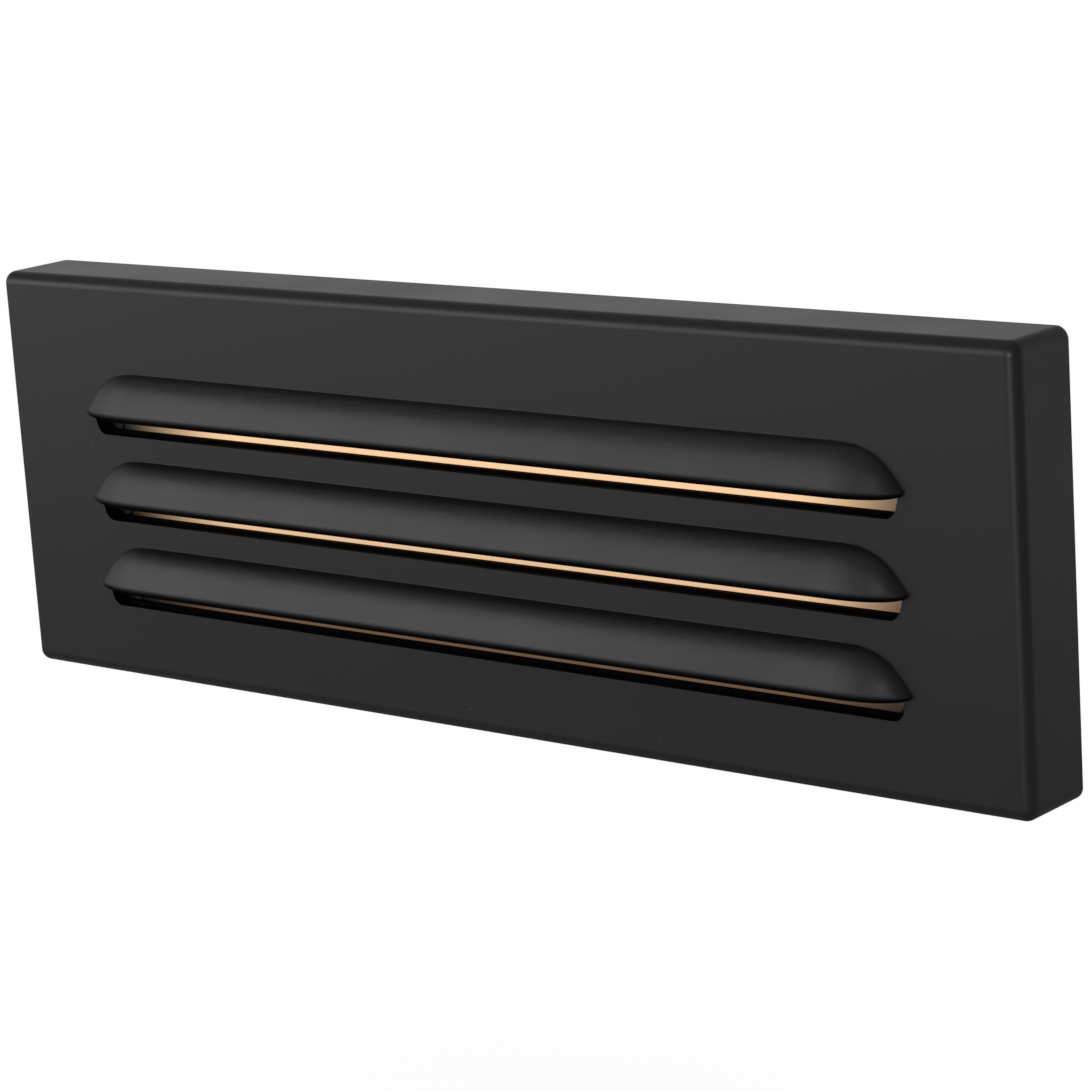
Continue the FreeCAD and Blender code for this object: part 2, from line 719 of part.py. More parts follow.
# ---------------------------------------------------------------- driver case
def driver_case():
    """Moulded box for the driver, screwed to the back of the plate by an ear at each corner."""
    box = slab(case_x, case_z, case_corner, y_case_front, case_depth)
    flange = slab(case_x + case_ear, case_z, case_corner, y_case_front, y_case_front + case_wall)
    rim = [edge for edge in box.Edges if all(abs(v.Y - case_depth) < 1e-6 for v in edge.Vertexes)]
    box = box.makeFillet(case_wall * 0.75, rim)
    case = joined([box, flange]).removeSplitter()
    case = case.cut(slab(case_x - case_wall, case_z - case_wall, case_corner - case_wall + 0.2, y_case_front - 1,
                         y_case_floor))
    bosses = [rod(x, z, y_driver_back, y_case_floor + 0.5, case_boss_radius)
              for x, z in corners(driver_screw_x, driver_screw_z)]
    case = joined([case] + bosses)
    tools = [rod(x, z, y_case_front - 1, y_case_front + case_wall + 1, m3[0] + hole_gap)
             for x, z in case_screw_places()]
    tools += [rod(x, z, y_driver_back - 1, y_case_floor, m25[0] + thread_gap)
              for x, z in corners(driver_screw_x, driver_screw_z)]
    tools.append(Part.makeCylinder(bushing_neck, case_wall * 4, V(-case_x - case_wall, y_bushing, 0), V(1, 0, 0)))
    return cut_all(case, tools)


def case_gasket():
    ring = slab(case_x + case_ear, case_z, case_corner, y_plate_back, y_case_front)
    tools = [slab(case_x - case_wall, case_z - case_wall, 2.0, y_plate_back - 1, y_case_front + 1)]
    tools += [rod(x, z, y_plate_back - 1, y_case_front + 1, m3[0] + hole_gap) for x, z in case_screw_places()]
    return cut_all(ring, tools)


def cable_bushing():
    """Rubber bushing in the end of the case, for the supply cable."""
    x = -case_x
    inner = case_wall + bushing_tail
    points = [(bushing_bore, -bushing_lip), (bushing_flange - 0.6, -bushing_lip),
              (bushing_flange, -bushing_lip + 0.6), (bushing_flange, 0), (bushing_neck, 0),
              (bushing_neck, case_wall), (bushing_flange - 0.8, case_wall), (bushing_neck - 0.4, inner),
              (bushing_bore, inner)]
    return turned(points, V(x, y_bushing, 0), V(1, 0, 0))


def driver_board():
    board = slab(driver_x, driver_z, 1.5, y_driver_front, y_driver_back)
    return cut_all(board, [rod(x, z, y_driver_front - 1, y_driver_back + 1, m25[0] + hole_gap)
                           for x, z in corners(driver_screw_x, driver_screw_z)])


def standing(x, z, radius, height):
    """Round part that stands on the driver board with a rounded top."""
    bevel = radius * 0.15
    points = [(0, 0), (radius, 0), (radius, height - bevel), (radius - bevel, height), (0, height)]
    return turned(points, V(x, y_driver_front, z), V(0, -1, 0))


def on_board(x, z, half_x, half_z, height, lift=0.0):
    return block(x - half_x, x + half_x, y_driver_front - lift - height, y_driver_front - lift,
                 z - half_z, z + half_z)


def transformer_core():
    """Two E-shaped ferrites face to face: the middle leg runs through the winding."""
    half_x, half_z = core_length / 2, core_width / 2
    core = on_board(transformer_x, 0, half_x, half_z, core_height, core_lift)
    window = (half_x - core_leg / 2 - core_back) / 2
    shift = core_leg / 2 + window
    windows = [on_board(transformer_x + side * shift, 0, window, half_z + 1, core_height - 2 * core_back,
                        core_lift + core_back) for side in (-1, 1)]
    return cut_all(core, windows)


def transformer_coil():
    """Wound bobbin round the middle leg, on its pin rails."""
    height, lift = core_height - 2 * core_back - 2 * hole_gap, core_lift + core_back + hole_gap
    half_z = winding_width / 2
    winding = on_board(transformer_x, 0, winding_length / 2, half_z, height, lift)
    upright = [edge for edge in winding.Edges if abs(edge.BoundBox.YLength - height) < 1e-6]
    winding = winding.makeFillet(core_back / 2, upright)
    rail_z = half_z - rail_width / 2 + hole_gap
    rails = [on_board(transformer_x, side * rail_z, rail_length / 2, rail_width / 2, rail_height)
             for side in (-1, 1)]
    leg = on_board(transformer_x, 0, core_leg / 2 + hole_gap / 2, core_width / 2 + hole_gap / 2, core_height,
                   core_lift)
    return joined([winding] + rails).removeSplitter().cut(leg)


def driver_choke():
    """Ring choke that lies on the board, with its winding as ribs round the ring."""
    half_x, half_y = choke_ring_width / 2, choke_ring_height / 2
    inner, outer = choke_radius - half_x, choke_radius + half_x
    corner = half_x / 4
    low = choke_wire
    ring = turned([(inner, low + corner), (inner + corner, low), (outer - corner, low), (outer, low + corner),
                   (outer, low + 2 * half_y - corner), (outer - corner, low + 2 * half_y),
                   (inner + corner, low + 2 * half_y), (inner, low + 2 * half_y - corner)],
                  V(choke_x, y_driver_front, choke_z), V(0, -1, 0))
    turns = []
    for k in range(choke_turns):
        turn = block(inner - choke_wire, outer + choke_wire, -low - 2 * half_y - choke_wire, 0,
                     -choke_wire / 2, choke_wire / 2)
        turn = turn.makeFillet(choke_wire, [edge for edge in turn.Edges
                                            if abs(edge.BoundBox.ZLength - choke_wire) < 1e-6])
        turn.rotate(V(0, 0, 0), V(0, 1, 0), 360 / choke_turns * k)
        turn.translate(V(choke_x, y_driver_front, choke_z))
        turns.append(turn)
    return joined([ring] + turns)


def driver_capacitors():
    """Two main capacitors side by side, and the output capacitor beyond them."""
    spread = main_capacitor[0] + main_capacitor_gap / 2
    places = [output_capacitor_z - spread, output_capacitor_z + spread]
    return [standing(main_capacitor_x, z, *main_capacitor) for z in places] + \
        [standing(output_capacitor_x, output_capacitor_z, *output_capacitor)]


def driver_chips():
    """Rectifier, switching chip and opto-coupler, flat on the board."""
    return [on_board(*chip) for chip in (rectifier, switch_chip, opto_coupler)]


def supply_terminal():
    """Three-way screw terminal that faces the bushing."""
    half_x, half_z = terminal_length / 2, terminal_width / 2
    x = -case_x + case_wall + bushing_tail + terminal_gap + half_x
    body = on_board(x, 0, half_x, half_z, terminal_height)
    tools = [on_board(x - half_x, 0, terminal_step * 2 / 3, half_z + 1, terminal_step,
                      terminal_height - terminal_step)]
    for k in range(terminal_ways):
        z = (k - (terminal_ways - 1) / 2) * terminal_pitch
        entry = V(x - half_x - 1, y_driver_front - terminal_step - hole_gap * 3, z)
        tools.append(Part.makeCylinder(terminal_entry_radius, terminal_step + 1, entry, V(1, 0, 0)))
        tools.append(rod(x + terminal_entry_radius / 2, z, y_driver_front - terminal_height - 1,
                         y_driver_front - terminal_height + terminal_step * 2 / 3, terminal_screw_radius))
    return cut_all(body, tools)


# ---------------------------------------------------------------- leads
def lead_grommet():
    """Rubber grommet through the plate and the foot of the tray."""
    depth = y_plate_back - y_tray_front
    lip, edge = grommet_lip, grommet_lip / 2
    points = [(grommet_bore, -lip), (grommet_flange - edge, -lip), (grommet_flange, -lip + edge),
              (grommet_flange, 0), (grommet_radius, 0), (grommet_radius, depth), (grommet_flange, depth),
              (grommet_flange, depth + lip - edge), (grommet_flange - edge, depth + lip),
              (grommet_bore, depth + lip)]
    return turned(points, V(lead_x, y_tray_front, lead_z), V(0, 1, 0))


def lead(z):
    """Insulated lead: straight off the driver board, one bend, then straight into the connector."""
    end_x = connector_x + connector_length / 2 - lead_grip
    bend_x, bend_y = lead_x - lead_bend, y_lead_run + lead_bend
    half = lead_bend * math.sqrt(0.5)
    start, turn_in = V(lead_x, y_driver_front, z), V(lead_x, bend_y, z)
    middle = V(bend_x + half, bend_y - half, z)
    turn_out, end = V(bend_x, y_lead_run, z), V(end_x, y_lead_run, z)
    path = Part.Wire([Part.makeLine(start, turn_in), Part.Arc(turn_in, middle, turn_out).toShape(),
                      Part.makeLine(turn_out, end)])
    section = Part.Wire(Part.Circle(start, V(0, -1, 0), lead_radius).toShape())
    tube = path.makePipeShell([section], True, True)
    print("lead", round(path.Length, 2), "mm, bend", lead_bend,
          "volume ratio", round(tube.Volume / (math.pi * lead_radius ** 2 * path.Length), 4))
    return tube


# ---------------------------------------------------------------- fasteners
def screws_along(places, screw, size, length, y, way):
    return [screw(size, length, V(x, y, z), V(0, way, 0)) for x, z in places]


def earth_washer():
    """Cupped washer under the earth screw, behind the plate."""
    bore, brim = m4[0] + hole_gap, m4[1] + washer_brim
    step, deep = brim - washer_sheet, washer_sheet + washer_cup
    points = [(bore, 0), (brim, 0), (brim, -deep), (step, -deep), (step, -washer_sheet), (bore, -washer_sheet)]
    return turned(points, V(earth_x, y_plate_back, 0), V(0, -1, 0))


def write(name, shapes):
    """One STEP file for a node: one solid, or a group of separate solids."""
    solids = [solid for shape in (shapes if isinstance(shapes, list) else [shapes]) for solid in shape.Solids]
    shape = solids[0] if len(solids) == 1 else Part.makeCompound(solids)
    shape.exportStep(os.path.join("parts", name + ".step"))
    print("%-26s %2d  %10.2f mm3" % (name, len(solids), shape.Volume))


def main():
    os.makedirs("parts", exist_ok=True)
    negative_z, positive_z = lead_heights()
    write("cover", cover())
    write("cover_screw_left", set_screw(-1))
    write("cover_screw_right", set_screw(1))
    write("back_plate", back_plate())
    write("wall_gasket", wall_gasket())
    write("led_tray", led_tray())
    write("thermal_pad", thermal_pad())
    write("led_board", led_board())
    write("led_emitters", led_emitters())
    write("led_connector", led_connector())
    write("reflector", reflector())
    write("lens_gasket", lens_gasket())
    write("lens", lens())
    write("lens_frame", lens_frame())
    write("driver_case", driver_case())
    write("case_gasket", case_gasket())
    write("cable_bushing", cable_bushing())
    write("driver_board", driver_board())
    write("transformer_core", transformer_core())
    write("transformer_coil", transformer_coil())
    write("driver_choke", driver_choke())
    write("driver_capacitors", driver_capacitors())
    write("driver_chips", driver_chips())
    write("supply_terminal", supply_terminal())
    write("lead_grommet", lead_grommet())
    write("led_lead_negative", lead(negative_z))
    write("led_lead_positive", lead(positive_z))
    through_frame = y_flange_back - y_frame_front
    through_tray = tray_wall + plate_thickness + washer_sheet
    through_board = led_board_thickness + thermal_pad_thickness + tray_wall
    through_ear = case_wall + case_gasket_thickness + plate_thickness
    into_boss = driver_board_thickness + case_boss_height - washer_sheet
    y_ear_back = y_case_front + case_wall
    bosses = corners(driver_screw_x, driver_screw_z)
    write("lens_screws", screws_along(lens_screw_places(), sunk_screw, m2, through_frame, y_frame_front, 1))
    write("tray_screws", screws_along(tray_screw_places(), pan_screw, m3, through_tray, y_tray_front, 1))
    write("board_screws", screws_along(board_screw_places(), pan_screw, m25, through_board, y_board_front, 1))
    write("case_screws", screws_along(case_screw_places(), pan_screw, m3, through_ear, y_ear_back, -1))
    write("driver_board_screws", screws_along(bosses, pan_screw, m25, into_boss, y_driver_front, 1))
    write("earth_screw", pan_screw(m4, plate_thickness + washer_sheet, V(earth_x, y_plate_back + washer_sheet, 0),
                                   V(0, -1, 0)))
    write("earth_washer", earth_washer())


if __name__ == "__main__":
    main()
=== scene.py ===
"""Louvered step light: its finishes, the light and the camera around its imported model."""
import math

import bmesh
import bpy
from mathutils import Matrix, Vector


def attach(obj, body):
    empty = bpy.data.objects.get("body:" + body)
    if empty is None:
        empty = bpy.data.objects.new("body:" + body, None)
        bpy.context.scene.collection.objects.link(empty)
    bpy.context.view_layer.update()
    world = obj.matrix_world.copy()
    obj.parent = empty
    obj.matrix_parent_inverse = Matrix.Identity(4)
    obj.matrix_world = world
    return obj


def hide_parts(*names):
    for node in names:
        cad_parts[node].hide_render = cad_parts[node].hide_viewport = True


bl_info = {
    "name": "Louvered Step Light",
    "version": (1, 0, 0),
    "blender": (4, 5, 0),
    "location": "3D View > Sidebar > Step Light",
    "description": "Finishes, stage and camera for a louvered step light",
    "category": "Object",
}

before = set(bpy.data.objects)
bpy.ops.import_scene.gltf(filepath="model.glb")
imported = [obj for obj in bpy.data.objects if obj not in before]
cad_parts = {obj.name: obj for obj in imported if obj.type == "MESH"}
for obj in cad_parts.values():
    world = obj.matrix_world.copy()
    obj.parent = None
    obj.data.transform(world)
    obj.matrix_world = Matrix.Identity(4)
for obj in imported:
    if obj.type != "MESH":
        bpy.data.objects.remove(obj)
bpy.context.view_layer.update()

MM = 0.001                  # one millimetre, in the metres of the scene
IMAGE_SIDE = 1091           # pixels along each side of the frame
SENSOR = 36.0               # camera sensor, mm
WHITE = (1.0, 1.0, 1.0, 1.0)

# the camera, solved from the outline of the cover in the photograph
FOCAL_PIXELS = 3634.318     # focal length, in pixels of the frame
EYE = (422.20, -493.38, 141.85)
AIM = (18.604, -16.2, -2.601)
ROLL = -3.773               # degrees

# the louvers, in mm as the cover has them: sills from the foot up, and heights above each sill
SILLS = (-24.93, -7.765, 9.4)
LOUVER_PITCH = 17.165
MOUTH_HALF = 96.0           # a little more than half a mouth's length
FACE = -16.2                # plane of the cover's face
BAR_ZONE = -14.8            # the water bar stands behind this plane
BAR_TOP = 0.75              # top of the water bar behind the sill
LIP_FOOT = 2.9              # underside of the lip
LIP_CURL = 4.54             # where the lip starts to curl under
HOOD_TOP = 11.8             # where the hood meets the face

# how far the scene's copy of the cover opens each mouth, mm
LIP_RISE = 0.12
SILL_DROP = 0.5
BAR_DROP = 0.62
SLACK = 0.01                # allowance for a corner that lies on one of these heights

ROLLED = (0.06, 1.0, 1.0)   # rolling draws the grain of a sheet out along X


# ---------------------------------------------------------------- colours and nodes

def rgb(code):
    """Turns an sRGB hex colour such as #1A1A1B into linear red, green and blue."""
    shades = [int(code[i:i + 2], 16) / 255 for i in (1, 3, 5)]
    return tuple(s / 12.92 if s <= 0.04045 else ((s + 0.055) / 1.055) ** 2.4 for s in shades)


def rgba(code):
    return (*rgb(code), 1.0)


def add(tree, kind, inputs=None, **settings):
    """Adds a node: settings are its own properties, inputs the values of its sockets or what feeds them."""
    made = tree.nodes.new(kind)
    for name, value in settings.items():
        setattr(made, name, value)
    for name, value in (inputs or {}).items():
        if isinstance(value, bpy.types.NodeSocket):
            tree.links.new(value, made.inputs[name])
        else:
            made.inputs[name].default_value = value
    return made


def new_material(name):
    """Makes an empty material and gives its node tree, output and Object coordinates."""
    material = bpy.data.materials.new(name)
    material.use_nodes = True
    tree = material.node_tree
    tree.nodes.clear()
    output = add(tree, "ShaderNodeOutputMaterial")
    place = add(tree, "ShaderNodeTexCoord").outputs["Object"]
    return material, tree, output, place


def per_mm(size):
    """The texture scale that gives one cell each size mm."""
    return 1.0 / (size * MM)


def moulded(name, pale, dark, patch=6.0, grain=0.35, depth=0.008, roughness=(0.45, 0.6), metallic=0.0,
            stretch=(1.0, 1.0, 1.0)):
    """A finish whose colour drifts between two shades over patches, with a fine grain in its surface.

    patch, grain and depth are in mm, and grain is often drawn coarser than the real one so that it shows.
    stretch squeezes the grain along an axis, as rolling does."""
    material, tree, output, place = new_material(name)
    stretched = add(tree, "ShaderNodeMapping", {"Vector": place, "Scale": stretch}).outputs["Vector"]
    drift = add(tree, "ShaderNodeTexNoise", {"Vector": place, "Scale": per_mm(patch), "Detail": 4.0})
    fine = add(tree, "ShaderNodeTexNoise", {"Vector": stretched, "Scale": per_mm(grain), "Detail": 3.0})
    share = add(tree, "ShaderNodeMapRange", {"Value": drift.outputs["Fac"], "From Min": 0.35,
                                              "From Max": 0.65})
    shade = add(tree, "ShaderNodeMix", {"Factor": share.outputs["Result"], "A": rgba(dark), "B": rgba(pale)},
                data_type="RGBA")
    rough = add(tree, "ShaderNodeMapRange", {"Value": fine.outputs["Fac"], "From Min": 0.3, "From Max": 0.7,
                                              "To Min": roughness[0], "To Max": roughness[1]})
    bump = add(tree, "ShaderNodeBump", {"Height": fine.outputs["Fac"], "Distance": depth * MM})
    shader = add(tree, "ShaderNodeBsdfPrincipled", {
        "Base Color": shade.outputs["Result"], "Roughness": rough.outputs["Result"],
        "Normal": bump.outputs["Normal"], "Metallic": metallic})
    tree.links.new(shader.outputs["BSDF"], output.inputs["Surface"])
    return material


def louver_height(tree, place):
    """Height above the nearest sill below, and a mask of the hoods' outsides and of the mouths' walls."""
    parts = add(tree, "ShaderNodeSeparateXYZ", {"Vector": place}).outputs
    above = add(tree, "ShaderNodeMath", {0: parts["Z"], 1: (SILL_DROP - SILLS[0]) * MM}, operation="ADD")
    climb = add(tree, "ShaderNodeMath", {0: above.outputs["Value"], 1: LOUVER_PITCH * MM},
                operation="FLOORED_MODULO")
    height = add(tree, "ShaderNodeMath", {0: climb.outputs["Value"], 1: SILL_DROP * MM}, operation="SUBTRACT")
    # a box around the three louvers, in front of the face's back: middle and half size along each axis
    mask = None
    for value, middle, half in ((parts["X"], 0.0, 96.5), (above.outputs["Value"], 23.5, 24.5),
                                (parts["Y"], -17.5, 4.45)):
        inside = add(tree, "ShaderNodeMath", {0: value, 1: middle * MM, 2: half * MM}, operation="COMPARE")
        if mask is not None:
            inside = add(tree, "ShaderNodeMath", {0: mask, 1: inside.outputs["Value"]}, operation="MULTIPLY")
        mask = inside.outputs["Value"]
    face = add(tree, "ShaderNodeMath", {0: parts["Y"], 1: FACE * MM, 2: SLACK * MM}, operation="COMPARE")
    field = add(tree, "ShaderNodeMath", {0: mask, 1: face.outputs["Value"]}, operation="SUBTRACT",
                use_clamp=True)
    return height.outputs["Value"], field.outputs["Value"]


def powder_coat(name, colour, roughness):
    """Satin powder coat over cast aluminium: a faint orange peel, a slow drift of gloss, and a few pale
    specks of dust. Beneath the lips and in the mouths, and a little in the crease above each hood, shade is
    painted in: the coat is darkened towards black and its gloss taken down there, and it is also made
    rougher."""
    material, tree, output, place = new_material(name)
    peel = add(tree, "ShaderNodeTexNoise", {"Vector": place, "Scale": per_mm(1.1), "Detail": 2.0})
    cloud = add(tree, "ShaderNodeTexNoise", {"Vector": place, "Scale": per_mm(26.0), "Detail": 3.0})
    dust = add(tree, "ShaderNodeTexVoronoi", {"Vector": place, "Scale": per_mm(9.0)})
    speck = add(tree, "ShaderNodeMapRange", {"Value": dust.outputs["Distance"], "From Min": 0.012,
                                              "From Max": 0.03, "To Min": 0.55, "To Max": 0.0})
    height, field = louver_height(tree, place)
    # painted shade: a mask of the lips' undersides and the mouths' walls, and more faintly of the crease
    # above each hood
    below, crease = (
        add(tree, "ShaderNodeMapRange", {"Value": height, "From Min": start * MM, "From Max": end * MM},
            interpolation_type="SMOOTHSTEP").outputs["Result"]
        for start, end in ((LIP_CURL + 0.45, LIP_CURL - 0.85), (HOOD_TOP - 1.0, HOOD_TOP)))
    faint = add(tree, "ShaderNodeMath", {0: crease, 1: 0.4}, operation="MULTIPLY")
    either = add(tree, "ShaderNodeMath", {0: below, 1: faint.outputs["Value"]}, operation="MAXIMUM")
    painted_shade = add(tree, "ShaderNodeMath", {0: either.outputs["Value"], 1: field},
                operation="MULTIPLY").outputs["Value"]
    shade = add(tree, "ShaderNodeMix", {"Factor": speck.outputs["Result"], "A": (*colour, 1.0),
                                         "B": rgba("#5A5753")}, data_type="RGBA")
    # painted shade: the coat turns near black inside that mask
    shaded_coat = add(tree, "ShaderNodeMix", {"Factor": painted_shade, "A": shade.outputs["Result"], "B": rgba("#050505")},
               data_type="RGBA")
    rough = add(tree, "ShaderNodeMapRange", {"Value": cloud.outputs["Fac"], "From Min": 0.3, "From Max": 0.7,
                                              "To Min": roughness - 0.03, "To Max": roughness + 0.03})
    dull = add(tree, "ShaderNodeMix", {"Factor": painted_shade, "A": rough.outputs["Result"], "B": 0.8},
               data_type="FLOAT")
    # painted shade in the reflection: the gloss falls away inside that mask
    gloss = add(tree, "ShaderNodeMapRange", {"Value": painted_shade, "To Min": 0.5, "To Max": 0.03})
    bump = add(tree, "ShaderNodeBump", {"Height": peel.outputs["Fac"], "Distance": 0.012 * MM})
    shader = add(tree, "ShaderNodeBsdfPrincipled", {
        "Base Color": shaded_coat.outputs["Result"], "Roughness": dull.outputs["Result"],
        "Specular IOR Level": gloss.outputs["Result"], "Normal": bump.outputs["Normal"], "IOR": 1.5})
    tree.links.new(shader.outputs["BSDF"], output.inputs["Surface"])
    return material


def painted_glow_opal(name, glow, ember, strength):
    """Opal polycarbonate with a painted glow: emission on the lens stands in for the light of the row of
    emitters behind it, brightest along the row, and fading and turning to amber towards the ends and the
    lower edge, where the emitters' light would reach last."""
    material, tree, output, place = new_material(name)
    parts = add(tree, "ShaderNodeSeparateXYZ", {"Vector": place}).outputs
    left, right, low = (
        add(tree, "ShaderNodeMapRange", {"Value": parts[axis], "From Min": start * MM, "From Max": end * MM},
            interpolation_type="SMOOTHSTEP").outputs["Result"]
        for axis, start, end in (("X", -92.5, -60.0), ("X", 98.0, 68.0), ("Z", -24.0, -1.0)))
    # painted light: the glow's colour and strength fade towards the ends and the lower edge
    tint = add(tree, "ShaderNodeMix", {"Factor": low, "A": (*ember, 1.0), "B": (*glow, 1.0)},
               data_type="RGBA")
    along = add(tree, "ShaderNodeMath", {0: left, 1: right}, operation="MULTIPLY")
    power = add(tree, "ShaderNodeMath", {0: along.outputs["Value"], 1: strength}, operation="MULTIPLY")
    shader = add(tree, "ShaderNodeBsdfPrincipled", {
        "Base Color": rgba("#2A2723"), "Roughness": 0.35, "IOR": 1.58,
        "Emission Color": tint.outputs["Result"], "Emission Strength": power.outputs["Value"]})
    tree.links.new(shader.outputs["BSDF"], output.inputs["Surface"])
    return material


def dress(material, *names):
    """Gives the CAD nodes their finish."""
    for name in names:
        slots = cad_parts[name].data.materials
        slots.clear()
        slots.append(material)


# ---------------------------------------------------------------- what a user would change

class CoverSettings(bpy.types.PropertyGroup):
    coat: bpy.props.FloatVectorProperty(
        name="Coat", description="Colour of the cover's powder coat", subtype="COLOR", size=3,
        min=0.0, max=1.0, default=rgb("#141415"))
    roughness: bpy.props.FloatProperty(
        name="Roughness", description="How satin the coat is", subtype="FACTOR",
        min=0.05, max=1.0, default=0.4)
    # the lens's glow is painted: emission on the lens stands in for the emitters' light
    glow: bpy.props.FloatVectorProperty(
        name="Glow", description="Colour of the lit lens", subtype="COLOR", size=3,
        min=0.0, max=1.0, default=rgb("#FFD3A2"))
    ember: bpy.props.FloatVectorProperty(
        name="Ember", description="Colour of the lens where little light reaches it", subtype="COLOR", size=3,
        min=0.0, max=1.0, default=rgb("#6A523C"))
    strength: bpy.props.FloatProperty(
        name="Strength", description="How brightly the lens is lit", min=0.0, max=10.0, default=0.96)


class StageSettings(bpy.types.PropertyGroup):
    floor_drop: bpy.props.FloatProperty(
        name="Floor", description="How far the floor lies below the light's fixings", unit="LENGTH",
        min=0.05, max=2.0, default=0.13)
    floor_colour: bpy.props.FloatVectorProperty(
        name="Floor colour", description="Colour of the plain floor", subtype="COLOR", size=3,
        min=0.0, max=1.0, default=rgb("#E6E6E4"))


# ---------------------------------------------------------------- the stage

def room_level(tree, way):
    """How pale the room is in a direction: palest to the left, where its white wall is, and darkest to
    the right and in front."""
    slope = add(tree, "ShaderNodeVectorMath", {0: way, 1: (-0.28, 0.08, 0.0)}, operation="DOT_PRODUCT")
    return add(tree, "ShaderNodeMath", {0: slope.outputs["Value"], 1: 0.48}, operation="ADD",
               use_clamp=True).outputs["Value"]


class STEPLIGHT_OT_stage(bpy.types.Operator):
    """Makes the camera, the soft lights, the world and the floor"""
    bl_idname = "step_light.stage"
    bl_label = "Stage and camera"

    def execute(self, context):
        settings = context.scene.step_light_stage
        self.camera(context)
        self.floor(context, settings)
        self.world(context)
        self.lamp(context, "key_softbox", (-1.05, -1.15, 0.32), (1.2, 0.6), 3.9)
        self.lamp(context, "fill_card", (0.42, -1.1, 0.16), (0.5, 0.45), 3.3, rgb("#F3F9FF"))
        self.lamp(context, "top_softbox", (0.1, -0.35, 1.4), (1.4, 0.9), 12.0).visible_glossy = False
        context.scene.view_settings.view_transform = "Standard"
        return {"FINISHED"}

    def camera(self, context):
        data = bpy.data.cameras.new("camera")
        data.sensor_width = SENSOR
        data.lens = FOCAL_PIXELS / IMAGE_SIDE * SENSOR
        data.clip_start = 0.02
        data.clip_end = 50.0
        eye = Vector(EYE) * MM
        turn = (Vector(AIM) * MM - eye).to_track_quat("-Z", "Y").to_matrix().to_4x4()
        roll = Matrix.Rotation(math.radians(ROLL), 4, "Z")
        made = bpy.data.objects.new("camera", data)
        made.matrix_world = Matrix.Translation(eye) @ turn @ roll
        context.scene.collection.objects.link(made)
        context.scene.camera = made

    def floor(self, context, settings):
        shape = bmesh.new()
        bmesh.ops.create_circle(shape, cap_ends=True, segments=96, radius=8.0)
        bmesh.ops.translate(shape, verts=shape.verts, vec=(0.0, 0.0, -settings.floor_drop))
        mesh = bpy.data.meshes.new("floor")
        shape.to_mesh(mesh)
        shape.free()
        made = bpy.data.objects.new("floor", mesh)
        context.scene.collection.objects.link(made)
        mesh.materials.append(self.board(settings.floor_colour))

    def board(self, colour):
        """Plain matt board: the camera sees it white, with a trace of the light's shadow. What shines sees
        its far part as a painted reflection, glowing as pale as the room, and sees its near part, as bounced
        light sees all of it, in a painted shade of mid grey darker than the board."""
        material, tree, output, place = new_material("matt_board")
        length = add(tree, "ShaderNodeVectorMath", {0: place}, operation="LENGTH").outputs["Value"]
        towards = add(tree, "ShaderNodeVectorMath", {0: place}, operation="NORMALIZE").outputs["Vector"]
        rays = add(tree, "ShaderNodeLightPath").outputs
        bare = add(tree, "ShaderNodeMapRange", {"Value": length, "From Min": 0.1, "From Max": 0.3,
                                                 "To Min": 0.92, "To Max": 1.0})
        seen = add(tree, "ShaderNodeMath", {0: rays["Is Camera Ray"], 1: bare.outputs["Result"]},
                   operation="MULTIPLY")
        depth = add(tree, "ShaderNodeSeparateXYZ", {"Vector": place}).outputs["Y"]
        away = add(tree, "ShaderNodeMath", {0: depth}, operation="ABSOLUTE").outputs["Value"]
        far = add(tree, "ShaderNodeMapRange", {"Value": away, "From Min": 0.2, "From Max": 0.5},
                  interpolation_type="SMOOTHSTEP")
        glossy = add(tree, "ShaderNodeMath", {0: rays["Is Glossy Ray"], 1: far.outputs["Result"]},
                     operation="MULTIPLY")
        share = add(tree, "ShaderNodeMath", {0: seen.outputs["Value"], 1: glossy.outputs["Value"]},
                    operation="MAXIMUM")
        # painted reflection: what shines sees the far board glow at the room's level, palest to the left
        level = add(tree, "ShaderNodeMix", {"Factor": rays["Is Camera Ray"], "A": room_level(tree, towards),
                                             "B": 1.0}, data_type="FLOAT")
        # painted shade: to all but the camera the board is a mid grey, darker than it looks
        shade = add(tree, "ShaderNodeMix", {"Factor": rays["Is Camera Ray"], "A": rgba("#747473"),
                                             "B": (*colour, 1.0)}, data_type="RGBA")
        matt = add(tree, "ShaderNodeBsdfDiffuse", {"Color": shade.outputs["Result"]})
        white = add(tree, "ShaderNodeEmission", {"Color": WHITE, "Strength": level.outputs["Result"]})
        mixed = add(tree, "ShaderNodeMixShader", {"Fac": share.outputs["Value"], 1: matt.outputs["BSDF"],
                                                   2: white.outputs["Emission"]})
        tree.links.new(mixed.outputs["Shader"], output.inputs["Surface"])
        return material

    def world(self, context):
        world = bpy.data.worlds.new("studio")
        context.scene.world = world
        world.use_nodes = True
        tree = world.node_tree
        tree.nodes.clear()
        output = add(tree, "ShaderNodeOutputWorld")
        way = add(tree, "ShaderNodeTexCoord").outputs["Generated"]
        up = add(tree, "ShaderNodeSeparateXYZ", {"Vector": way}).outputs["Z"]
